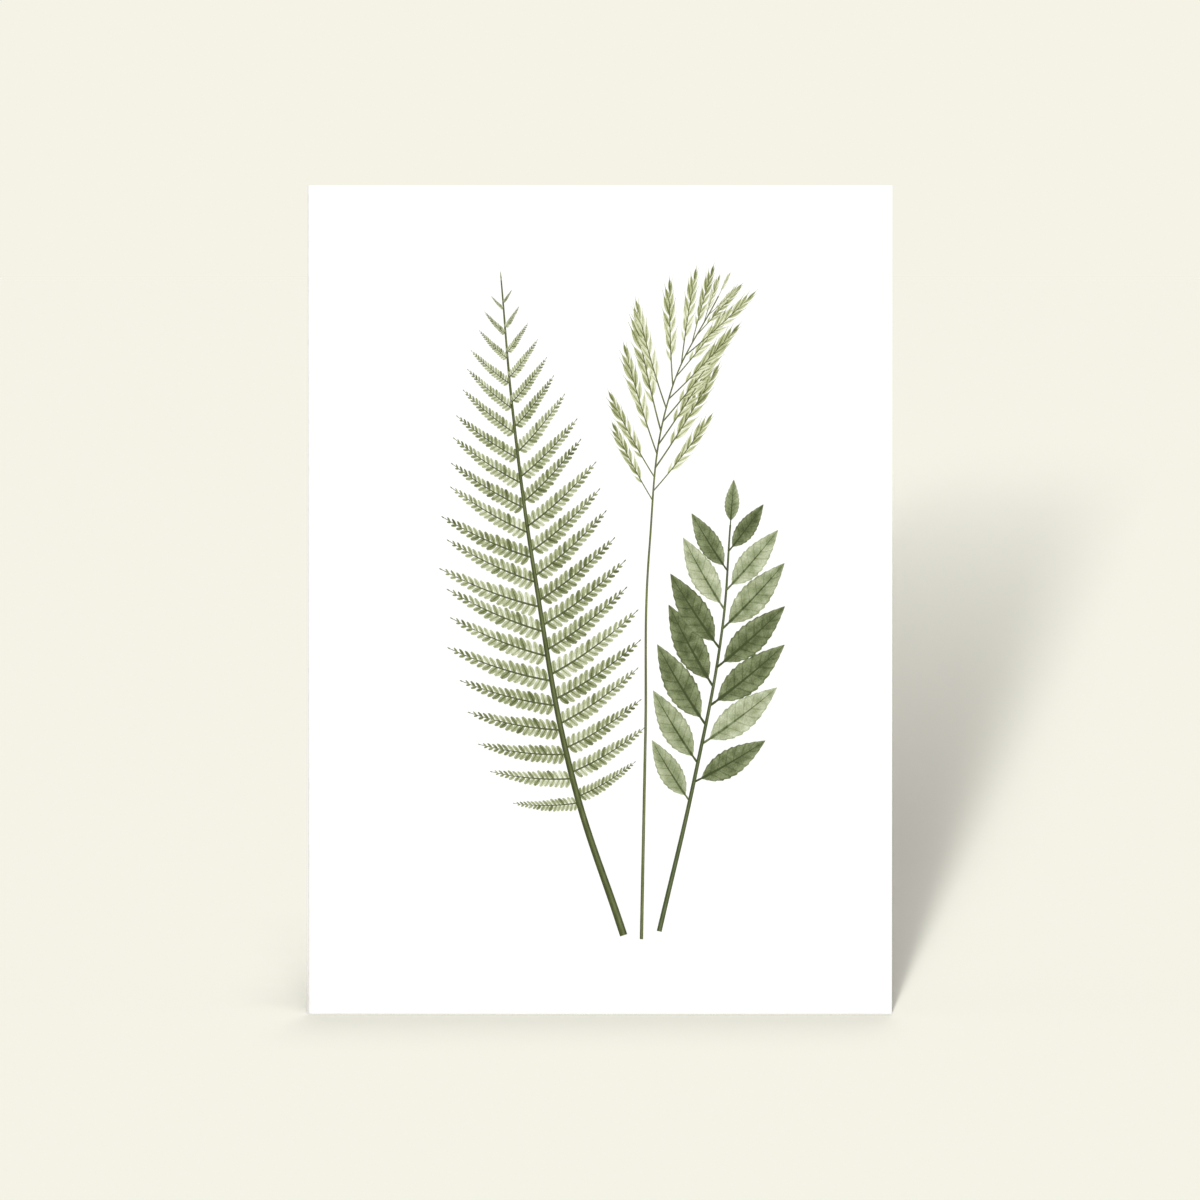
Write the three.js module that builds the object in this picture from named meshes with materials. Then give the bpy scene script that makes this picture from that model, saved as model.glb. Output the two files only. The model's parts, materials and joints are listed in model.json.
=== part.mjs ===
// A folded greeting card that stands upright on the lower edges of its two leaves.
// Units are millimetres. +Z is up, the front leaf faces -Y, and the fold runs up the card's left side.
// The origin is on the ground, under the middle of the box that holds the standing card.
import * as THREE from "three";

// Driving dimensions.
const CARD_WIDTH = 148; // closed card, from the outside of the fold to the cut edge
const CARD_HEIGHT = 210;
const STOCK_THICKNESS = 0.42; // heavy card of about 350 grams a square metre
const OPENING_DEGREES = 45; // between the leaves as the card stands
const CREASE_CLEARANCE = 0.3; // between the crease bead and the edge of the back leaf
const BEAD_SEGMENTS = 12; // facets in each half turn of the crease bead

// Worked out from the dimensions above.
const opening = THREE.MathUtils.degToRad(OPENING_DEGREES);
const beadRadius = STOCK_THICKNESS;
const leafRun = CARD_WIDTH - beadRadius; // from the fold line to a cut edge
const backReach = leafRun * Math.sin(opening) + STOCK_THICKNESS * Math.cos(opening);
const foldX = beadRadius - CARD_WIDTH / 2;
const foldY = (STOCK_THICKNESS - backReach) / 2;

const cardStock = new THREE.MeshStandardMaterial({
  name: "card_stock",
  color: new THREE.Color(0.93, 0.93, 0.92),
  roughness: 0.8,
  metalness: 0,
});

// Raises a leaf's section, drawn with the fold line at (0, 0), to the height of the card.
function raiseLeaf(name, section) {
  const geometry = new THREE.ExtrudeGeometry(section, {
    depth: CARD_HEIGHT,
    bevelEnabled: false,
    curveSegments: BEAD_SEGMENTS,
  });
  const leaf = new THREE.Mesh(geometry, cardStock);
  leaf.name = name;
  return leaf;
}

// The front leaf's stock lies on the -Y side of the fold line, which runs up the inner face of the fold.
// The scored crease is a round bead about that line, and it is part of this leaf.
function makeFrontLeaf() {
  const section = new THREE.Shape();
  section.moveTo(0, -STOCK_THICKNESS);
  section.lineTo(leafRun, -STOCK_THICKNESS);
  section.lineTo(leafRun, 0);
  section.lineTo(beadRadius, 0);
  section.absarc(0, 0, beadRadius, 0, Math.PI * 1.5, false);
  return raiseLeaf("front_leaf", section);
}

// The back leaf is the same stock with its outer face away from the front leaf.
// Its edge stops short of the bead, so that it turns about the fold line without touching it.
function makeBackLeaf() {
  const innerEnd = beadRadius + CREASE_CLEARANCE;
  const section = new THREE.Shape();
  section.moveTo(innerEnd, 0);
  section.lineTo(leafRun, 0);
  section.lineTo(leafRun, STOCK_THICKNESS);
  section.lineTo(innerEnd, STOCK_THICKNESS);
  section.closePath();
  const leaf = raiseLeaf("back_leaf", section);
  leaf.rotation.z = opening;
  return leaf;
}

const card = new THREE.Group();
card.name = "folded_card";
card.position.set(foldX, foldY, 0);
card.add(makeFrontLeaf(), makeBackLeaf());

export default card;
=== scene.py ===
"""A folded greeting card with a printed spray of pressed plants, standing on a pale floor.

Lengths are metres. The card's solids give its size and its fold line. The sheet is modelled round
that line. The print is drawn flat, in the plane of the front leaf, and laid on its bowed face.
"""

import json
import math

import bpy
import numpy as np
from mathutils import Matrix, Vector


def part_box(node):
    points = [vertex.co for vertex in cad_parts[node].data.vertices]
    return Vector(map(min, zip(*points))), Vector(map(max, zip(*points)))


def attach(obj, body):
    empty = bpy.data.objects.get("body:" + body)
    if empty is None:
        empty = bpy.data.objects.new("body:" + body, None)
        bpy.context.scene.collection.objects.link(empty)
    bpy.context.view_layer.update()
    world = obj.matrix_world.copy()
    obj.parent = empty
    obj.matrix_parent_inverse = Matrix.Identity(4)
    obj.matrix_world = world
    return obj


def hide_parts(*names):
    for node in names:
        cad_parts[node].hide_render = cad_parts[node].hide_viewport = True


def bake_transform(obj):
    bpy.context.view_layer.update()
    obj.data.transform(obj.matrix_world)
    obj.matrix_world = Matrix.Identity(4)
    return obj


MM = 0.001

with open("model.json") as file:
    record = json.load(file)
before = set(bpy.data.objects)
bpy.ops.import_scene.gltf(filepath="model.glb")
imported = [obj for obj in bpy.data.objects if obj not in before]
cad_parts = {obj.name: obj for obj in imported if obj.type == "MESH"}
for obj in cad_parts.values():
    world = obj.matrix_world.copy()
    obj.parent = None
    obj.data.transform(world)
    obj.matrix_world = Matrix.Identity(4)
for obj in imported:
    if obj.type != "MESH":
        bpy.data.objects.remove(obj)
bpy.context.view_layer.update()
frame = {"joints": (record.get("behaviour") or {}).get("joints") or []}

# ------------------------------------------------------------ sizes read from the solids
front_low, front_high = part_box("front_leaf")
_, back_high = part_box("back_leaf")
fold_x, fold_y, _ = frame["joints"][0]["pos_m"]

CARD_WIDTH = front_high.x - front_low.x
CARD_HEIGHT = front_high.z
STOCK = fold_y - front_low.y  # thickness of the card
LEAF_RUN = front_high.x - fold_x  # from the fold line to a cut edge
OPENING = math.acos((back_high.x - fold_x) / LEAF_RUN)
FRONT_Y = front_low.y  # plane of the printed face

# ------------------------------------------------------------ how the sheet departs from flat
FRONT_BOW = 0.7 * MM  # outward swell halfway across the front leaf, at its foot and its top
BACK_BOW = 1.0 * MM
EVEN_BOW, END_BOW = 0.8, 0.2  # share of the bow at every height, and what the foot and top add
FRONT_CURL = 0.35 * MM  # outward lean of the corners at the cut edge
BACK_CURL = 0.7 * MM
CREASE_HALF = 0.55 * MM  # half the width of the scored crease
INNER_BEAD = 0.35 * MM  # height of the ridge that the score raises inside the fold
EDGE_ROUND = 0.035 * MM  # softening of the cut edges
RIM_LINES = (0.2, 0.8)  # depths in the stock, as shares of it, of two lines along each cut edge
SHARP_ANGLE = math.radians(50)  # edges that turn by more are shaded sharp

LEAF_COLUMNS = 40
CROWDING = 1.15  # above 1, the columns of a leaf lie closer together towards the fold
CREASE_COLUMNS = 14
TURN_FROM, TURN_TO = 0.25, 0.75  # the stretch of the crease's columns that goes round the spine
SHEET_ROWS = 56

# ------------------------------------------------------------ print
INK_LIFT = 0.02 * MM  # how far the ink stands proud of the sheet
INK_SINK = 0.05 * MM  # how far its hidden side lies in the sheet
RIB_DEPTH = 0.08  # between the two faces of a rib as it is drawn, in half widths of the rib
FIRST_PAIR = 0.25  # the first leaflet's place on the leafy stretch, in steps from pair to pair
PROFILE_START, PROFILE_SPAN = 0.04, 0.93  # the stretch used of the rule for leaflets' lengths
PRINT_SEED = 11

# ------------------------------------------------------------ finishes, colours in linear light
GRAIN_DEPTH = 0.02 * MM  # of the card's eggshell surface
# the card's own colours, and the painted shade of its crease: soft noise mixes the two of a pair
OUTER_WHITES = ((0.925, 0.925, 0.922, 1), (0.94, 0.94, 0.936, 1))
INNER_WHITES = ((0.86, 0.857, 0.84, 1), (0.89, 0.887, 0.872, 1))
CUT_FIBRES = ((0.66, 0.645, 0.60, 1), (0.88, 0.87, 0.84, 1))
FLECK = (0.70, 0.69, 0.64, 1)
# painted shade along the crease, also the colour of the fine cracks in it
CREASE_SHADE_AND_WEAR = (0.55, 0.545, 0.53, 1)

# inks, each from its darkest tone to its lightest
OLIVE = (
    (0.058, 0.074, 0.021), (0.132, 0.156, 0.060), (0.27, 0.305, 0.148),
    (0.45, 0.485, 0.30), (0.68, 0.71, 0.54),
)
SAGE = (
    (0.053, 0.072, 0.023), (0.125, 0.154, 0.065), (0.25, 0.292, 0.155),
    (0.43, 0.475, 0.31), (0.66, 0.70, 0.54),
)
STRAW = (
    (0.080, 0.094, 0.028), (0.20, 0.226, 0.088), (0.39, 0.42, 0.215),
    (0.60, 0.63, 0.41), (0.80, 0.82, 0.66),
)

# ------------------------------------------------------------ camera
CAMERA_DISTANCE = 3.0  # from the printed face
CAMERA_HEIGHT = 0.205  # just under the card's top edge, so that the front leaf hides the back one
SENSOR_WIDTH = 36.0
PICTURE_PIXELS = 1200
CARD_PIXELS = 584.3  # width of the front leaf in the picture

# ------------------------------------------------------------ floor and light
FLOOR_RADIUS = 30.0
BACKDROP = (0.913, 0.896, 0.791)  # the lit floor and what lies past it, in linear light
FLOOR_SHARE = 0.12  # the floor's own colour, as a share of BACKDROP: its lamps make up the rest
SKY = (0.92, 0.92, 0.95)  # light from all round
KEY_HEADING, KEY_ELEVATION, KEY_STRENGTH = 3.0, 30.0, 0.90
KEY_SOFTNESS = 12.0  # width of the key, in degrees
KEY_COLOUR = (1.0, 1.0, 1.05)

# Three rows of far lamps light the floor alone, and share out the light that it still needs. Each
# row goes from its lowest lamp to its highest. A heading is the way that the light travels, in
# degrees from +Y towards +X.
FRONT_LAMPS = 12  # low, in front: their shadow is deep by the card and thins out far behind it
FRONT_PART = 0.585  # of the light that the three rows share out
FRONT_LOWEST, FRONT_HIGHEST = 2.05, 13.5
FRONT_FADE = 0.7  # the higher a lamp, the weaker, by this power of its elevation
FRONT_HEADING = 3.0
FRONT_SOFTNESS = 0.4  # width of a lamp, as a share of its elevation
FRONT_COLOUR = (0.990, 1.002, 1.004)  # a touch cool, so that the shadow behind the card is warm

CORNER_LAMPS = 6  # higher, from the right: the small shadow by the lower left corner
CORNER_PART = 0.265
CORNER_LOWEST, CORNER_HIGHEST = 28.0, 76.0
CORNER_HEADING, CORNER_SWING = -2.0, -20.0  # of the lowest, and how far the highest turns from it

FOOT_LAMPS = 5  # nearly overhead, from behind: the narrow shadow before the card's foot
FOOT_PART = 1 - FRONT_PART - CORNER_PART
FOOT_LOWEST, FOOT_HIGHEST = 60.0, 80.0
FOOT_GROWTH = 2.4  # how much stronger the highest is than the lowest
FOOT_HEADING = 183.0

HIGH_SOFTNESS = 5.0  # width of a lamp of the last two rows, in degrees
HIGH_COLOUR = (1.014, 0.997, 0.995)


def into_scene(name, data):
    """A new object with this data, in the scene."""
    made = bpy.data.objects.new(name, data)
    bpy.context.scene.collection.objects.link(made)
    return made


def unit(x, y):
    """A direction in the ground plane."""
    length = math.hypot(x, y)
    return np.array([x / length, y / length])


FRONT_ALONG, FRONT_OUT = unit(1, 0), unit(0, -1)
BACK_ALONG = unit(math.cos(OPENING), math.sin(OPENING))
BACK_OUT = unit(-math.sin(OPENING), math.cos(OPENING))


def swell(distance, height, bow, curl):
    """How far a leaf stands out from its flat solid, at a distance from the fold and a height."""
    share = np.clip((distance - CREASE_HALF) / (LEAF_RUN - CREASE_HALF), 0, 1)
    tall = 2 * height / CARD_HEIGHT - 1  # -1 at the foot, 1 at the top
    bowed = bow * np.sin(math.pi * share) * (EVEN_BOW + END_BOW * tall ** 2)
    return bowed + curl * share ** 3 * tall ** 2


# ------------------------------------------------------------ the folded sheet
def fold_section():
    """Matching points of the outer and inner faces, from the front's cut edge to the back's.

    Gives with them each point's distance from the fold and the way that it swells.
    """
    spread = np.linspace(1, 0, LEAF_COLUMNS + 1)[:-1] ** CROWDING
    far = CREASE_HALF + (LEAF_RUN - EDGE_ROUND - CREASE_HALF) * spread
    outer = [FRONT_ALONG * d + FRONT_OUT * STOCK for d in far]
    inner = [FRONT_ALONG * d for d in far]
    distance, side = list(far), [FRONT_OUT] * len(far)
    turn_start = -math.pi / 2
    turn = OPENING - math.pi  # from the front's outer face, round the spine, to the back's
    bisector = unit(math.cos(OPENING / 2), math.sin(OPENING / 2))
    for step in range(CREASE_COLUMNS + 1):
        share = step / CREASE_COLUMNS
        turned = min(max((share - TURN_FROM) / (TURN_TO - TURN_FROM), 0), 1)
        run_out = CREASE_HALF * max(1 - share / TURN_FROM, 0, (share - TURN_TO) / (1 - TURN_TO))
        on_front = share < 0.5
        along = FRONT_ALONG if on_front else BACK_ALONG
        angle = turn_start + turn * turned
        outer.append(along * run_out + STOCK * np.array([math.cos(angle), math.sin(angle)]))
        reach = CREASE_HALF * abs(1 - 2 * share)
        ridge = INNER_BEAD * math.sin(math.pi * share) ** 2
        inner.append(along * reach + bisector * ridge)
        distance.append(CREASE_HALF)
        side.append(FRONT_OUT if on_front else BACK_OUT)
    outer += [BACK_ALONG * d + BACK_OUT * STOCK for d in far[::-1]]
    inner += [BACK_ALONG * d for d in far[::-1]]
    distance += list(far[::-1])
    side += [BACK_OUT] * len(far)
    return np.array(outer), np.array(inner), np.array(distance), np.array(side)


def make_sheet():
    """One closed sheet for both leaves, with softly rounded cut edges all round."""
    outer, inner, distance, side = fold_section()
    columns = len(outer)
    on_front = np.arange(columns) < columns // 2
    bow = np.where(on_front, FRONT_BOW, BACK_BOW)
    curl = np.where(on_front, FRONT_CURL, BACK_CURL)
    from_spine = np.abs(np.arange(columns) - columns // 2)
    scored = np.clip(1 - from_spine / (CREASE_COLUMNS / 2), 0, 1)
    points, faces = [], []
    inside, cut, score = [], [], []

    def lay(flat, z, is_inside, is_cut, where=slice(None)):
        """Adds one line of points across the sheet and gives the index of each."""
        out = side[where] * swell(distance[where], z, bow[where], curl[where])[:, None]
        placed = flat + out + np.array([fold_x, fold_y])
        first = len(points)
        points.extend([x, y, z] for x, y in placed)
        inside.extend([is_inside] * len(placed))
        cut.extend([is_cut] * len(placed))
        score.extend(scored[where])
        return list(range(first, first + len(placed)))

    def lay_rim(end, depths, z):
        """Adds the points of a vertical cut edge at one height, at the leaf's full width."""
        where = slice(0, 1) if end == 0 else slice(-1, None)
        push = (FRONT_ALONG if end == 0 else BACK_ALONG) * EDGE_ROUND
        made = []
        for depth in depths:
            point = outer[end] * (1 - depth) + inner[end] * depth + push
            made += lay(point[None, :], z, is_inside=0.5, is_cut=1.0, where=where)
        return made

    loops = []
    for z in np.linspace(EDGE_ROUND, CARD_HEIGHT - EDGE_ROUND, SHEET_ROWS + 1):
        skin = lay(outer, z, is_inside=0.0, is_cut=0.0)
        back_edge = lay_rim(-1, RIM_LINES, z)
        lining = lay(inner, z, is_inside=1.0, is_cut=0.0)
        front_edge = lay_rim(0, RIM_LINES[::-1], z)
        loops.append((skin, back_edge, lining, front_edge))
    rings = [skin + back + lining[::-1] + front for skin, back, lining, front in loops]
    for low, high in zip(rings, rings[1:]):
        for i in range(len(low)):
            j = (i + 1) % len(low)
            faces.append([low[j], low[i], high[i], high[j]])

    def close_end(loop, z, flip):
        """Adds the cut edge along the bottom or the top."""
        skin, back_edge, lining, front_edge = loop
        rim = []
        for depth in RIM_LINES:
            flat = outer * (1 - depth) + inner * depth
            rim.append(lay(flat, z, is_inside=0.5, is_cut=1.0))
        strips = [skin, rim[0], rim[1], lining]
        made = []
        for a, b in zip(strips, strips[1:]):
            made += [[a[i], a[i + 1], b[i + 1], b[i]] for i in range(columns - 1)]
        made.append([skin[0], rim[0][0], front_edge[1]])
        made.append([rim[0][0], rim[1][0], front_edge[0], front_edge[1]])
        made.append([rim[1][0], lining[0], front_edge[0]])
        made.append([skin[-1], back_edge[0], rim[0][-1]])
        made.append([rim[0][-1], back_edge[0], back_edge[1], rim[1][-1]])
        made.append([rim[1][-1], back_edge[1], lining[-1]])
        faces.extend(face[::-1] if flip else face for face in made)

    close_end(loops[0], 0.0, flip=False)
    close_end(loops[-1], CARD_HEIGHT, flip=True)

    mesh = bpy.data.meshes.new("card_sheet")
    mesh.from_pydata(points, [], faces)
    for name, values in (("inside", inside), ("cut", cut), ("score", score)):
        mesh.attributes.new(name, "FLOAT", "POINT").data.foreach_set("value", values)
    mesh.polygons.foreach_set("use_smooth", [True] * len(faces))
    mesh.set_sharp_from_angle(angle=SHARP_ANGLE)
    mesh.validate()
    return into_scene("card_sheet", mesh)


# ------------------------------------------------------------ node helpers
def wire(tree, value, socket):
    """Links a socket, or sets a plain value."""
    if isinstance(value, bpy.types.NodeSocket):
        tree.links.new(value, socket)
    else:
        socket.default_value = value


def put(tree, kind, inputs=None, **settings):
    """Adds a node with its settings and its inputs, given by name or number."""
    made = tree.nodes.new(kind)
    for name, value in settings.items():
        setattr(made, name, value)
    for key, value in (inputs or {}).items():
        wire(tree, value, made.inputs[key])
    return made


def maths(tree, operation, *values):
    """The result of one Math node."""
    made = tree.nodes.new("ShaderNodeMath")
    made.operation = operation
    for socket, value in zip(made.inputs, values):
        wire(tree, value, socket)
    return made.outputs[0]


def plus(tree, first, *others):
    total = first
    for other in others:
        total = maths(tree, "ADD", total, other)
    return total


def minus(tree, first, second):
    return maths(tree, "SUBTRACT", first, second)


def times(tree, first, second):
    return maths(tree, "MULTIPLY", first, second)


def over(tree, first, second):
    return maths(tree, "DIVIDE", first, second)


def times_plus(tree, first, second, third):
    """first times second, plus third."""
    return maths(tree, "MULTIPLY_ADD", first, second, third)


# ------------------------------------------------------------ growing a plant with geometry nodes
SPRAY_INPUTS = (
    ("Rib", "NodeSocketObject"),
    ("Leaflet", "NodeSocketObject"),
    ("Ink", "NodeSocketMaterial"),
    ("Tone Name", "NodeSocketString"),
    ("Pairs", "NodeSocketInt"),
    ("First Leaflet", "NodeSocketFloat"),
    ("Last Leaflet", "NodeSocketFloat"),
    ("Longest", "NodeSocketFloat"),
    ("Rise", "NodeSocketFloat"),
    ("Fall", "NodeSocketFloat"),
    ("Foot Angle", "NodeSocketFloat"),
    ("Tip Angle", "NodeSocketFloat"),
    ("Stagger", "NodeSocketFloat"),
    ("Curl", "NodeSocketFloat"),
    ("Length Spread", "NodeSocketFloat"),
    ("Angle Spread", "NodeSocketFloat"),
    ("Seed", "NodeSocketInt"),
    ("Foot Width", "NodeSocketFloat"),
    ("Tip Width", "NodeSocketFloat"),
    ("Rib Steps", "NodeSocketInt"),
    ("Layer Step", "NodeSocketFloat"),
)


def store(tree, geometry, name, value, kind="FLOAT"):
    """Keeps a value on every point under a name."""
    made = put(tree, "GeometryNodeStoreNamedAttribute", data_type=kind, domain="POINT")
    for key, given in (("Geometry", geometry), ("Name", name), ("Value", value)):
        wire(tree, given, made.inputs[key])
    return made.outputs[0]


def recall(tree, name, kind="FLOAT"):
    """The value that every point keeps under a name."""
    return put(tree, "GeometryNodeInputNamedAttribute", {"Name": name}, data_type=kind).outputs[0]


def point_part(tree, axis):
    """One coordinate of each point's place."""
    place = tree.nodes.new("GeometryNodeInputPosition").outputs[0]
    return put(tree, "ShaderNodeSeparateXYZ", {0: place}).outputs[axis]


def scaled(tree, vector, factor):
    made = put(tree, "ShaderNodeVectorMath", {0: vector, "Scale": factor}, operation="SCALE")
    return made.outputs[0]


def only_z(tree, value):
    """The vector (0, 0, value)."""
    return put(tree, "ShaderNodeCombineXYZ", {"Z": value}).outputs[0]


def uneven(tree, given, spread, step):
    """A seeded number up to spread either side of zero. Each step has a draw of its own."""
    draw = put(tree, "FunctionNodeRandomValue", {2: -1.0, 3: 1.0}, data_type="FLOAT")
    wire(tree, plus(tree, given["Seed"], step), draw.inputs["Seed"])
    return times(tree, draw.outputs[1], spread)


def leaflet_length(tree, given, share):
    """Leaflets grow longer from the foot of the leafy stretch, and shorter again to its tip."""
    def hump(x):
        """Rises from 0 and falls back to 0 at 1."""
        rise = maths(tree, "POWER", x, given["Rise"])
        fall = maths(tree, "POWER", minus(tree, 1.0, x), given["Fall"])
        return times(tree, rise, fall)

    peak = over(tree, given["Rise"], plus(tree, given["Rise"], given["Fall"]))
    used = times_plus(tree, share, PROFILE_SPAN, PROFILE_START)
    length = times(tree, given["Longest"], over(tree, hump(used), hump(peak)))
    return times(tree, length, plus(tree, 1.0, uneven(tree, given, given["Length Spread"], 1.0)))


def leaflet_heading(tree, given, share, tangent, is_right, at_tip):
    """Leaflets open from the rib's own heading, left or right, and the last one not at all."""
    parts = put(tree, "ShaderNodeSeparateXYZ", {0: tangent}).outputs
    ahead = maths(tree, "ARCTAN2", parts["Y"], parts["X"])
    narrowing = minus(tree, given["Tip Angle"], given["Foot Angle"])
    opened = times_plus(tree, share, narrowing, given["Foot Angle"])
    opened = plus(tree, opened, uneven(tree, given, given["Angle Spread"], 2.0))
    hand = times_plus(tree, is_right, -2.0, 1.0)  # 1 on the left, -1 on the right
    hand = times(tree, hand, minus(tree, 1.0, at_tip))
    return minus(tree, times_plus(tree, opened, hand, ahead), math.pi / 2)


def leaflet_stations(tree, given, rib):
    """Points along the rib, left and right by turns, with each leaflet's tone and pull.

    Gives with them the length and the heading of the leaflets.
    """
    doubled = times(tree, given["Pairs"], 2.0)
    points = put(tree, "GeometryNodePoints", {"Count": plus(tree, doubled, 1.0)}).outputs[0]
    index = tree.nodes.new("GeometryNodeInputIndex").outputs[0]
    at_tip = maths(tree, "COMPARE", index, doubled, 0.1)
    is_right = maths(tree, "MODULO", index, 2.0)

    # share of the leafy stretch, and the place of that share on the whole rib
    pair = maths(tree, "FLOOR", over(tree, index, 2.0))
    late = times(tree, times(tree, is_right, given["Stagger"]), 0.5)
    counted = plus(tree, pair, late, FIRST_PAIR)
    share = maths(tree, "MINIMUM", over(tree, counted, given["Pairs"]), 1.0)
    leafy = minus(tree, given["Last Leaflet"], given["First Leaflet"])
    up_rib = times_plus(tree, share, leafy, given["First Leaflet"])
    factor = maths(tree, "MAXIMUM", up_rib, at_tip)
    sample = put(tree, "GeometryNodeSampleCurve", {"Curves": rib, "Factor": factor}, mode="FACTOR")
    tangent = sample.outputs["Tangent"]
    length = leaflet_length(tree, given, share)
    heading = leaflet_heading(tree, given, share, tangent, is_right, at_tip)

    layer = only_z(tree, times(tree, index, given["Layer Step"]))
    places = {"Geometry": points, "Position": sample.outputs["Position"], "Offset": layer}
    stood = put(tree, "GeometryNodeSetPosition", places).outputs[0]
    draw = put(tree, "FunctionNodeRandomValue", {"Seed": given["Seed"]}, data_type="FLOAT")
    stood = store(tree, stood, given["Tone Name"], draw.outputs[1])
    pull = scaled(tree, tangent, times(tree, length, given["Curl"]))
    stood = store(tree, stood, "pull", pull, "FLOAT_VECTOR")
    return stood, length, heading


def stand_leaflets(tree, given, rib):
    """The leaflets on their stations, each bent towards the rib's tip, more and more on its way."""
    leaflet = put(tree, "GeometryNodeObjectInfo", {"Object": given["Leaflet"]}).outputs["Geometry"]
    own_pull = {"Geometry": leaflet, "Name": "pull"}
    leaflet = put(tree, "GeometryNodeRemoveAttribute", own_pull).outputs[0]
    leaflet = store(tree, leaflet, "reach", point_part(tree, "Y"))
    stations, length, heading = leaflet_stations(tree, given, rib)
    turned = only_z(tree, heading)
    laid = {"Points": stations, "Instance": leaflet, "Rotation": turned, "Scale": length}
    copies = put(tree, "GeometryNodeInstanceOnPoints", laid).outputs[0]
    loose = put(tree, "GeometryNodeRealizeInstances", {"Geometry": copies}).outputs[0]
    reach = recall(tree, "reach")
    bend = scaled(tree, recall(tree, "pull", "FLOAT_VECTOR"), times(tree, reach, reach))
    return put(tree, "GeometryNodeSetPosition", {"Geometry": loose, "Offset": bend}).outputs[0]


def rib_strip(tree, given, rib):
    """The rib as a flat strip that narrows from its foot to its tip."""
    spaced = {"Curve": rib, "Count": given["Rib Steps"]}
    line = put(tree, "GeometryNodeResampleCurve", spaced).outputs[0]
    along = tree.nodes.new("GeometryNodeSplineParameter").outputs["Factor"]
    line = store(tree, store(tree, line, "along", along), "rib", 1.0)
    line = put(tree, "GeometryNodeSetCurveNormal", {"Curve": line}, mode="Z_UP").outputs[0]
    box = {"Width": 2.0, "Height": RIB_DEPTH}
    section = put(tree, "GeometryNodeCurvePrimitiveQuadrilateral", box).outputs[0]
    section = store(tree, section, "across", point_part(tree, "X"))
    section = store(tree, section, "skin", maths(tree, "LESS_THAN", point_part(tree, "Y"), 0.0))
    narrowing = minus(tree, given["Tip Width"], given["Foot Width"])
    half_width = times_plus(tree, along, narrowing, given["Foot Width"])
    swept = {"Curve": line, "Profile Curve": section, "Scale": half_width, "Fill Caps": True}
    return put(tree, "GeometryNodeCurveToMesh", swept).outputs[0]


def spray_tree():
    """Leaflets in pairs along a rib, and one at its tip. All of it lies in the XY plane."""
    tree = bpy.data.node_groups.new("paired_leaflets", "GeometryNodeTree")
    for name, kind in SPRAY_INPUTS:
        tree.interface.new_socket(name=name, in_out="INPUT", socket_type=kind)
    kind = "NodeSocketGeometry"
    tree.interface.new_socket(name="Geometry", in_out="OUTPUT", socket_type=kind)
    given = tree.nodes.new("NodeGroupInput").outputs
    rib = put(tree, "GeometryNodeObjectInfo", {"Object": given["Rib"]}).outputs["Geometry"]
    joined = tree.nodes.new("GeometryNodeJoinGeometry")
    tree.links.new(rib_strip(tree, given, rib), joined.inputs[0])
    tree.links.new(stand_leaflets(tree, given, rib), joined.inputs[0])
    whole = put(tree, "GeometryNodeRealizeInstances", {"Geometry": joined.outputs[0]}).outputs[0]
    finish = {"Geometry": whole, "Material": given["Ink"]}
    inked = put(tree, "GeometryNodeSetMaterial", finish).outputs[0]
    tree.links.new(inked, tree.nodes.new("NodeGroupOutput").inputs[0])
    return tree


def grow(name, tree, **inputs):
    """Runs the tree once with these inputs and gives the result as a plain mesh."""
    host = into_scene(name, bpy.data.meshes.new(name))
    modifier = host.modifiers.new("grow", "NODES")
    modifier.node_group = tree
    sockets = {
        item.name: item.identifier
        for item in tree.interface.items_tree
        if item.in_out == "INPUT"
    }
    for key, value in inputs.items():
        modifier[sockets[key.replace("_", " ").title()]] = value
    bpy.context.view_layer.update()
    graph = bpy.context.evaluated_depsgraph_get()
    mesh = bpy.data.meshes.new_from_object(
        host.evaluated_get(graph), preserve_all_data_layers=True, depsgraph=graph
    )
    host.modifiers.remove(modifier)
    mesh.materials.clear()
    mesh.materials.append(inputs["ink"])
    host.data = mesh
    return host


# ------------------------------------------------------------ flat blades and ribs, in the XY plane
def make_blade(name, half_width, rows, columns, teeth=0, tooth=0.0):
    """A closed flat blade one unit long, with its foot at the origin and its tip along +Y.

    half_width gives half its width at a share of its length. teeth and tooth are the number and
    the depth of the teeth along each edge.
    """
    points, across, aside, along, skin, faces = [], [], [], [], [], []
    wide = columns + 1
    for is_top in (1.0, 0.0):
        for row in range(rows + 1):
            share = row / rows
            notch = 1 + tooth * ((share * teeth) % 1 - 0.5) * (1 if teeth else 0)
            for column in range(wide):
                side = 2 * column / columns - 1
                edge = notch if abs(side) == 1 else 1
                points.append([side * half_width(share) * edge, share, 0])
                across.append(side)
                aside.append(abs(side) * half_width(share))
                along.append(share)
                skin.append(is_top)
    under = (rows + 1) * wide
    for row in range(rows):
        for column in range(columns):
            a = row * wide + column
            faces.append([a, a + 1, a + 1 + wide, a + wide])
            faces.append([i + under for i in (a, a + wide, a + 1 + wide, a + 1)])
    rim = list(range(columns))
    rim += [row * wide + columns for row in range(rows)]
    rim += [rows * wide + columns - column for column in range(columns)]
    rim += [(rows - row) * wide for row in range(rows)]
    for i, a in enumerate(rim):
        b = rim[(i + 1) % len(rim)]
        faces.append([b, a, a + under, b + under])
    mesh = bpy.data.meshes.new(name)
    mesh.from_pydata(points, [], faces)
    for key, values in (("across", across), ("aside", aside), ("along", along), ("skin", skin)):
        mesh.attributes.new(key, "FLOAT", "POINT").data.foreach_set("value", values)
    return into_scene(name, mesh)


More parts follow.
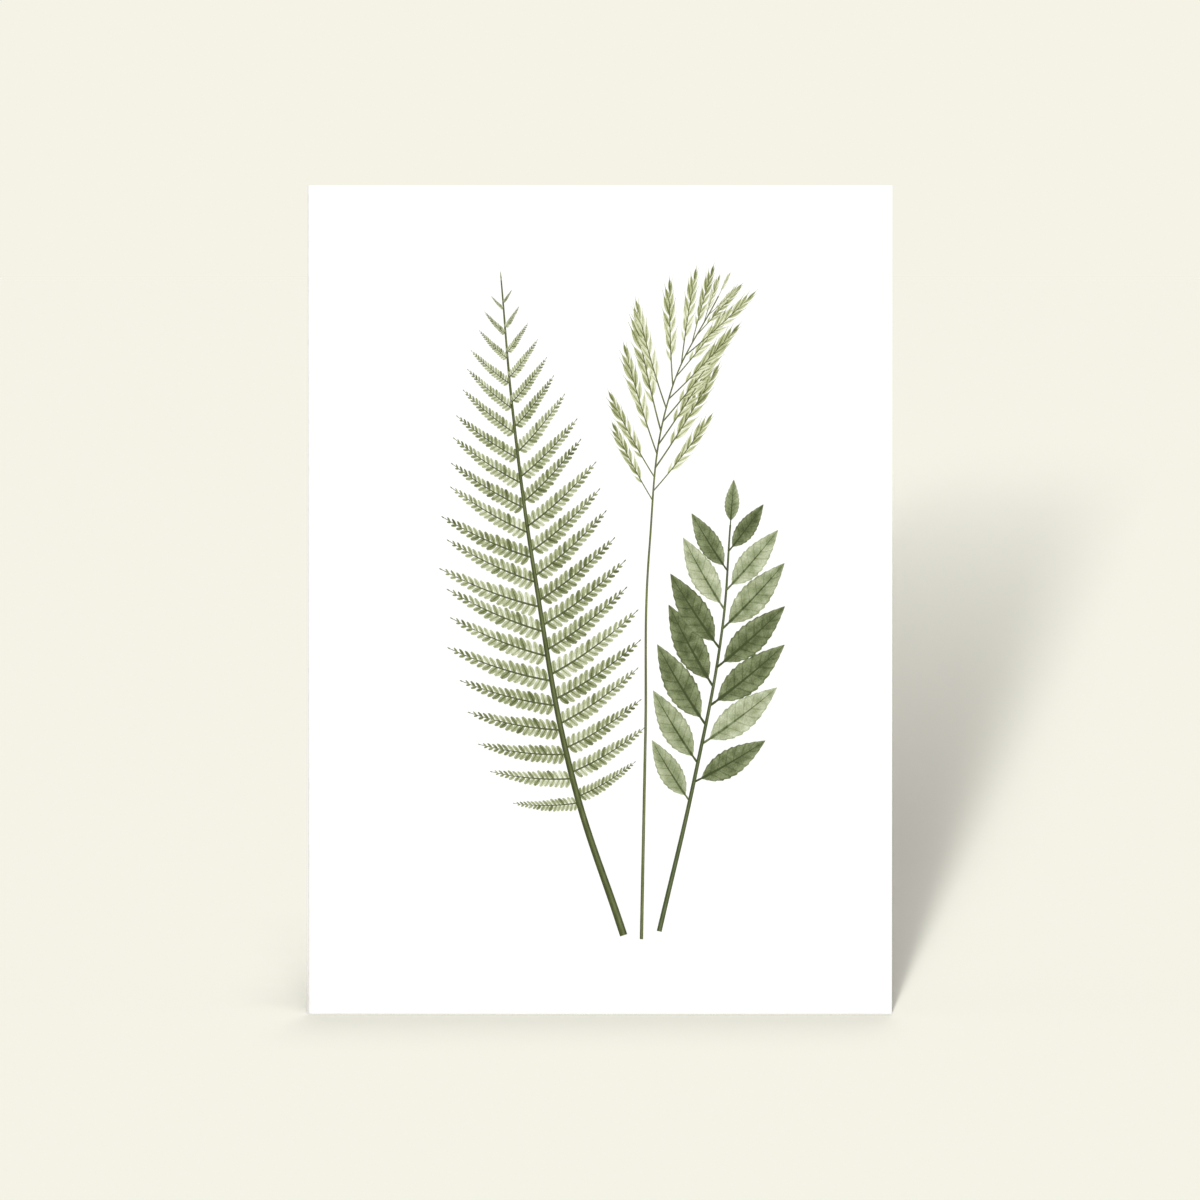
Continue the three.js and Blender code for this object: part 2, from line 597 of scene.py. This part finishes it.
def make_rib(name, *places):
    """A smooth curve through places in the XY plane."""
    curve = bpy.data.curves.new(name, "CURVE")
    curve.dimensions = "3D"
    curve.resolution_u = 24
    spline = curve.splines.new("BEZIER")
    spline.bezier_points.add(len(places) - 1)
    for knot, (x, y) in zip(spline.bezier_points, places):
        knot.co = (x, y, 0)
        knot.handle_left_type = knot.handle_right_type = "AUTO"
    return into_scene(name, curve)


def in_mm(*places):
    return [(x * MM, y * MM) for x, y in places]


def lay_on_front(flat):
    """Lays a print drawn flat on the bowed front leaf, and hangs it on the front leaf's body.

    Its skin stands a little proud, and its hidden side lies in the sheet.
    """
    mesh = flat.data
    place = np.zeros(len(mesh.vertices) * 3)
    mesh.vertices.foreach_get("co", place)
    across, up, layer = place.reshape(-1, 3).T
    skin = np.zeros(len(mesh.vertices))
    mesh.attributes["skin"].data.foreach_get("value", skin)
    out = swell(across - fold_x, up, FRONT_BOW, FRONT_CURL)
    out = out + np.where(skin > 0.5, INK_LIFT + layer, -INK_SINK)
    laid = np.stack([across, FRONT_Y - out, up], axis=1)
    mesh.vertices.foreach_set("co", laid.ravel())
    for spent in ("skin", "reach", "pull"):
        mesh.attributes.remove(mesh.attributes[spent])
    mesh.update()
    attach(flat, "front")


# ------------------------------------------------------------ the printed plants
# Each of these lays its plant on the card and gives the objects that it was grown from.
def print_fern(tree, ink):
    """A tall fern frond, its leaflets cut into small rounded lobes."""
    def outline(v):
        """Half the width of a lobe, blunt at both ends."""
        return 0.25 * (math.sin(math.pi * (0.12 + 0.80 * v))) ** 0.6

    lobe = make_blade("fern_lobe", outline, rows=4, columns=2)
    costa = make_rib("fern_leaflet_rib", (0, 0), (0, 0.5), (0, 1))
    leaflet = grow(
        "fern_leaflet", tree, rib=costa, leaflet=lobe, ink=ink, tone_name="tone",
        pairs=15, first_leaflet=0.03, last_leaflet=0.97, stagger=0.4,
        longest=0.118, rise=0.10, fall=0.50, length_spread=0.06,
        foot_angle=math.radians(74), tip_angle=math.radians(38), angle_spread=0.05,
        foot_width=0.011, tip_width=0.003, rib_steps=12,
        curl=0.12, seed=PRINT_SEED, layer_step=0.00001,
    )
    rachis = make_rib("fern_rachis", *in_mm((6, 20), (-7, 60), (-16, 108), (-22, 152), (-25, 186)))
    frond = grow(
        "print_fern", tree, rib=rachis, leaflet=leaflet, ink=ink, tone_name="tone_outer",
        pairs=21, first_leaflet=0.20, last_leaflet=0.985, stagger=0.5,
        longest=24.5 * MM, rise=0.42, fall=0.95, length_spread=0.04,
        foot_angle=math.radians(82), tip_angle=math.radians(42), angle_spread=0.05,
        foot_width=0.95 * MM, tip_width=0.18 * MM, rib_steps=90,
        curl=0.16, seed=PRINT_SEED + 1, layer_step=0.0004 * MM,
    )
    lay_on_front(frond)
    return [lobe, costa, leaflet, rachis]


def print_leafy_sprig(tree, ink):
    """A sprig of toothed oval leaves, set by turns on a slim stem."""
    def outline(v):
        """Half the width of a leaf: a short stalk, and then the blade."""
        stalk = 0.012 * (1 - v) + 0.002
        up_blade = min(max((v - 0.12) / 0.88, 0), 1)
        return max(stalk, 0.175 * math.sin(math.pi * up_blade ** 0.80) ** 0.9)

    leaf = make_blade("sprig_leaf", outline, rows=44, columns=8, teeth=11, tooth=0.12)
    stem = make_rib("sprig_stem", *in_mm((15, 21), (24, 60), (31, 98), (33, 124)))
    sprig = grow(
        "print_leafy_sprig", tree, rib=stem, leaflet=leaf, ink=ink, tone_name="tone",
        pairs=7, first_leaflet=0.30, last_leaflet=0.96, stagger=1.0,
        longest=22 * MM, rise=0.25, fall=0.30, length_spread=0.06,
        foot_angle=math.radians(52), tip_angle=math.radians(34), angle_spread=0.08,
        foot_width=0.62 * MM, tip_width=0.22 * MM, rib_steps=60,
        curl=0.10, seed=PRINT_SEED + 2, layer_step=0.002 * MM,
    )
    lay_on_front(sprig)
    return [leaf, stem]


def print_grass(tree, ink):
    """A nodding grass head: fine branches of slim husks on a thin stalk."""
    def outline(v):
        """Half the width of a husk, drawn out to a fine beard."""
        return 0.11 * math.sin(math.pi * min(v * 1.25 + 0.04, 1)) ** 0.9 + 0.006

    husk = make_blade("grass_husk", outline, rows=8, columns=2)
    twig = make_rib("grass_twig", (0, 0), (0, 0.5), (0, 1))
    branch = grow(
        "grass_branch", tree, rib=twig, leaflet=husk, ink=ink, tone_name="tone",
        pairs=6, first_leaflet=0.25, last_leaflet=0.97, stagger=1.0,
        longest=0.24, rise=0.2, fall=0.25, length_spread=0.15,
        foot_angle=math.radians(24), tip_angle=math.radians(14), angle_spread=0.12,
        foot_width=0.008, tip_width=0.004, rib_steps=14,
        curl=0.05, seed=PRINT_SEED + 3, layer_step=0.00002,
    )
    bends = in_mm((10.5, 19), (11.5, 70), (12.5, 118), (18, 158), (30, 182))
    stalk = make_rib("grass_stalk", *bends)
    head = grow(
        "print_grass", tree, rib=stalk, leaflet=branch, ink=ink, tone_name="tone_outer",
        pairs=9, first_leaflet=0.66, last_leaflet=0.98, stagger=0.8,
        longest=23 * MM, rise=0.25, fall=0.55, length_spread=0.12,
        foot_angle=math.radians(38), tip_angle=math.radians(16), angle_spread=0.12,
        foot_width=0.42 * MM, tip_width=0.14 * MM, rib_steps=90,
        curl=0.12, seed=PRINT_SEED + 4, layer_step=0.002 * MM,
    )
    lay_on_front(head)
    return [husk, twig, branch, stalk]


# ------------------------------------------------------------ finishes
def new_material(name, roughness, specular):
    """A material, its tree, and its Principled shader with these two set on its own sockets."""
    material = bpy.data.materials.new(name)
    material.use_nodes = True
    tree = material.node_tree
    shader = tree.nodes["Principled BSDF"]
    shader.inputs["Roughness"].default_value = roughness
    shader.inputs["Specular IOR Level"].default_value = specular
    return material, tree, shader


def object_place(tree):
    return tree.nodes.new("ShaderNodeTexCoord").outputs["Object"]


def kept(tree, name):
    """An attribute of the mesh."""
    return put(tree, "ShaderNodeAttribute", attribute_name=name).outputs["Fac"]


def noise(tree, place, scale, detail=2.0, stretch=(1, 1, 1)):
    """Soft noise from 0 to 1. A stretch under 1 draws it out along that axis."""
    moved = put(tree, "ShaderNodeMapping", {"Vector": place, "Scale": stretch}).outputs[0]
    inputs = {"Vector": moved, "Scale": scale, "Detail": detail}
    return put(tree, "ShaderNodeTexNoise", inputs).outputs["Fac"]


def centred_noise(tree, place, scale, detail=2.0, stretch=(1, 1, 1)):
    """The same noise, either side of zero."""
    return minus(tree, noise(tree, place, scale, detail, stretch), 0.5)


def smooth_step(tree, value, start, end, before=0.0, after=1.0):
    """Goes softly from before to after, while value goes from start to end."""
    inputs = {"Value": value, "From Min": start, "From Max": end, "To Min": before, "To Max": after}
    return put(tree, "ShaderNodeMapRange", inputs, interpolation_type="SMOOTHSTEP").outputs[0]


def blend_colours(tree, factor, first, second):
    inputs = {0: factor, 6: first, 7: second}
    return put(tree, "ShaderNodeMix", inputs, data_type="RGBA").outputs[2]


def blend_numbers(tree, factor, first, second):
    inputs = {0: factor, 2: first, 3: second}
    return put(tree, "ShaderNodeMix", inputs, data_type="FLOAT").outputs[0]


def tone_ramp(tree, level, tones):
    """Colours at even steps of level, from the darkest to the lightest."""
    made = put(tree, "ShaderNodeValToRGB", {0: level})
    stops = made.color_ramp.elements
    last = len(tones) - 1
    for i in range(1, last):
        stops.new(i / last)
    for i, tone in enumerate(tones):
        stops[i].position = i / last
        stops[i].color = (*tone, 1)
    return made.outputs[0]


def paper_grain(tree, place, strength, extra=None):
    """The faint eggshell of smooth card, as a bump. extra is more height, in the same measure."""
    fine = noise(tree, place, scale=2600, detail=3.0)
    broad = noise(tree, place, scale=520)
    height = plus(tree, times(tree, fine, 0.6), times(tree, broad, 0.5))
    if extra is not None:
        height = plus(tree, height, extra)
    inputs = {"Strength": strength, "Distance": GRAIN_DEPTH, "Height": height}
    return put(tree, "ShaderNodeBump", inputs).outputs[0]


def card_material():
    """White card: smooth outside, softer and warmer inside, with a fibrous core at its edges."""
    material, tree, shader = new_material("white_card", roughness=0.58, specular=0.4)
    place = object_place(tree)
    inside, cut, score = kept(tree, "inside"), kept(tree, "cut"), kept(tree, "score")
    cloud = noise(tree, place, scale=60, detail=3.0)
    fibres = noise(tree, place, scale=900, detail=4.0, stretch=(1, 1, 0.25))
    specks = noise(tree, place, scale=1500, stretch=(1, 1, 0.3))
    splits = noise(tree, place, scale=2600, detail=3.0, stretch=(1, 1, 0.2))

    outer = blend_colours(tree, cloud, *OUTER_WHITES)
    lining = blend_colours(tree, cloud, *INNER_WHITES)
    core = blend_colours(tree, fibres, *CUT_FIBRES)
    face = blend_colours(tree, smooth_step(tree, inside, 0.4, 0.9), outer, lining)
    flecks = smooth_step(tree, specks, 0.62, 0.74, after=0.12)
    face = blend_colours(tree, times(tree, flecks, inside), face, FLECK)
    # painted shade: the crease band is darkened all across it, and its fine cracks darker still
    crease = smooth_step(tree, score, 0.1, 0.9, after=0.40)
    cracks = smooth_step(tree, splits, 0.50, 0.68, after=0.25)
    face = blend_colours(tree, times_plus(tree, cracks, score, crease), face, CREASE_SHADE_AND_WEAR)
    colour = blend_colours(tree, smooth_step(tree, cut, 0.35, 0.75), face, core)
    wire(tree, colour, shader.inputs["Base Color"])

    rough = smooth_step(tree, plus(tree, inside, cut), 0.1, 0.6, before=0.56, after=0.82)
    rough = times_plus(tree, noise(tree, place, scale=1100), 0.08, rough)
    wire(tree, rough, shader.inputs["Roughness"])

    score_lines = times(tree, times(tree, cracks, score), 6.0)
    fibre_height = times(tree, times(tree, fibres, cut), 3.0)
    relief = paper_grain(tree, place, 0.5, plus(tree, score_lines, fibre_height))
    wire(tree, relief, shader.inputs["Normal"])
    return material


def ink_material(name, tones, veins, midrib):
    """Flat ink in the tones of a pressed plant.

    Each blade has its own tone, side veins, mottling and a dark midrib. veins is their number on
    a side, and midrib is half the midrib's width at the foot, as a share of the blade's length.
    """
    material, tree, shader = new_material(name, roughness=0.65, specular=0.15)
    place = object_place(tree)
    across, along, is_rib = kept(tree, "across"), kept(tree, "along"), kept(tree, "rib")
    mottle = centred_noise(tree, place, scale=420, detail=4.0)
    grain = centred_noise(tree, place, scale=3200)
    streak = centred_noise(tree, place, scale=900, detail=3.0, stretch=(1, 1, 0.15))

    away = maths(tree, "ABSOLUTE", across)
    taper = times(tree, minus(tree, 1.05, along), midrib)
    spine = over(tree, kept(tree, "aside"), taper)
    spine = smooth_step(tree, spine, 0.35, 1.0, before=1.0, after=0.0)
    slant = minus(tree, times(tree, along, veins), times(tree, away, 1.1))
    vein = maths(tree, "PINGPONG", slant, 0.5)
    vein = smooth_step(tree, vein, 0.0, 0.13, before=1.0, after=0.0)
    margin = smooth_step(tree, away, 0.80, 0.97)
    own = minus(tree, kept(tree, "tone"), 0.5)
    group = minus(tree, kept(tree, "tone_outer"), 0.5)
    blade = plus(
        tree, 0.50,
        times(tree, own, 0.48),
        times(tree, group, 0.20),
        times(tree, maths(tree, "POWER", away, 2.0), 0.30),
        times(tree, spine, -0.40),
        times(tree, vein, -0.15),
        times(tree, margin, -0.22),
        times(tree, mottle, 0.75),
        times(tree, grain, 0.45),
    )

    off_light = maths(tree, "ABSOLUTE", minus(tree, across, 0.2))
    sheen = smooth_step(tree, off_light, 0.0, 0.7, before=0.24, after=0.03)
    stem = plus(tree, sheen, times(tree, streak, 0.35), times(tree, grain, 0.25))
    level = blend_numbers(tree, is_rib, blade, stem)
    wire(tree, tone_ramp(tree, level, tones), shader.inputs["Base Color"])
    wire(tree, paper_grain(tree, place, 0.35), shader.inputs["Normal"])
    return material


# ------------------------------------------------------------ studio
def only_on(lamp, lit_object):
    """Keeps a lamp's light to one object. Everything still casts its shadow."""
    lit = bpy.data.collections.new(lamp.name + "_falls_on")
    lit.objects.link(lit_object)
    lamp.light_linking.receiver_collection = lit


def make_sun(name, heading, elevation, softness, strength, colour):
    """A far lamp. heading is the way its light travels, in degrees from +Y towards +X."""
    data = bpy.data.lights.new(name, "SUN")
    data.energy = strength
    data.angle = math.radians(softness)
    data.color = colour
    lamp = into_scene(name, data)
    lamp.rotation_euler = (math.radians(90 - elevation), 0, -math.radians(heading))
    return lamp


def light_floor(floor, name, part, colour, lamps):
    """Far lamps for the floor alone, each with an elevation, a heading, a width and a weight.

    part is their part of the light that the floor still needs, to look as bright as BACKDROP.
    """
    key = KEY_STRENGTH * math.sin(math.radians(KEY_ELEVATION)) / math.pi
    missing = 1 / FLOOR_SHARE - SKY[1] - key
    whole = sum(weight for _, _, _, weight in lamps)
    for number, (elevation, heading, softness, weight) in enumerate(lamps):
        level = missing * part * weight / whole
        strength = math.pi * level / math.sin(math.radians(elevation))
        lamp = make_sun(f"{name}_{number}", heading, elevation, softness, strength, colour)
        only_on(lamp, floor)


def make_lamps(floor):
    make_sun("key", KEY_HEADING, KEY_ELEVATION, KEY_SOFTNESS, KEY_STRENGTH, KEY_COLOUR)

    front = []
    for elevation in np.geomspace(FRONT_LOWEST, FRONT_HIGHEST, FRONT_LAMPS):
        weight = elevation ** -FRONT_FADE
        front.append((elevation, FRONT_HEADING, FRONT_SOFTNESS * elevation, weight))
    light_floor(floor, "front", FRONT_PART, FRONT_COLOUR, front)

    corner = []
    for up in np.linspace(0, 1, CORNER_LAMPS):
        elevation = CORNER_LOWEST + (CORNER_HIGHEST - CORNER_LOWEST) * up
        heading = CORNER_HEADING + CORNER_SWING * up ** 3
        corner.append((elevation, heading, HIGH_SOFTNESS, 1.0))
    light_floor(floor, "corner", CORNER_PART, HIGH_COLOUR, corner)

    foot = []
    for up in np.linspace(0, 1, FOOT_LAMPS):
        elevation = FOOT_LOWEST + (FOOT_HIGHEST - FOOT_LOWEST) * up
        foot.append((elevation, FOOT_HEADING, HIGH_SOFTNESS, FOOT_GROWTH ** up))
    light_floor(floor, "foot", FOOT_PART, HIGH_COLOUR, foot)


def make_floor():
    half = FLOOR_RADIUS
    corners = [(-half, -half, 0), (half, -half, 0), (half, half, 0), (-half, half, 0)]
    mesh = bpy.data.meshes.new("floor")
    mesh.from_pydata(corners, [], [(0, 1, 2, 3)])
    floor = into_scene("floor", mesh)
    material, _, shader = new_material("pale_floor", roughness=1.0, specular=0.0)
    shader.inputs["Base Color"].default_value = (*(FLOOR_SHARE * part for part in BACKDROP), 1)
    mesh.materials.append(material)
    return floor


def make_sky():
    """Even light from all round. The camera sees the lit floor's colour where the floor ends."""
    world = bpy.data.worlds.new("studio")
    bpy.context.scene.world = world
    world.use_nodes = True
    tree = world.node_tree
    tree.nodes.clear()
    seen = put(tree, "ShaderNodeBackground", {"Color": (*BACKDROP, 1), "Strength": 1.0})
    light = put(tree, "ShaderNodeBackground", {"Color": (*SKY, 1), "Strength": 1.0})
    by_camera = tree.nodes.new("ShaderNodeLightPath").outputs["Is Camera Ray"]
    inputs = {0: by_camera, 1: light.outputs[0], 2: seen.outputs[0]}
    mix = put(tree, "ShaderNodeMixShader", inputs)
    tree.links.new(mix.outputs[0], tree.nodes.new("ShaderNodeOutputWorld").inputs[0])


def make_camera():
    """A long lens nearly square on to the front leaf, aimed at its middle."""
    data = bpy.data.cameras.new("camera")
    data.sensor_width = SENSOR_WIDTH
    rise = CAMERA_HEIGHT - CARD_HEIGHT / 2
    picture_width = PICTURE_PIXELS * CARD_WIDTH / CARD_PIXELS
    data.lens = SENSOR_WIDTH * math.hypot(CAMERA_DISTANCE, rise) / picture_width
    data.clip_start, data.clip_end = 0.05, 100
    camera = into_scene("camera", data)
    camera.location = (0, FRONT_Y - CAMERA_DISTANCE, CAMERA_HEIGHT)
    camera.rotation_euler = (math.pi / 2 - math.atan2(rise, CAMERA_DISTANCE), 0, 0)
    bpy.context.scene.camera = camera


# ------------------------------------------------------------ putting it together
make_camera()
floor = make_floor()
make_sky()

sheet = make_sheet()
sheet.data.materials.append(card_material())
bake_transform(sheet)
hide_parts("front_leaf", "back_leaf")

tree = spray_tree()
helpers = print_fern(tree, ink_material("fern_ink", OLIVE, veins=5.0, midrib=0.060))
helpers += print_leafy_sprig(tree, ink_material("sprig_ink", SAGE, veins=9.0, midrib=0.026))
helpers += print_grass(tree, ink_material("grass_ink", STRAW, veins=1.0, midrib=0.030))
for helper in helpers:
    bpy.data.objects.remove(helper)

make_lamps(floor)
bpy.context.scene.view_settings.view_transform = "Standard"
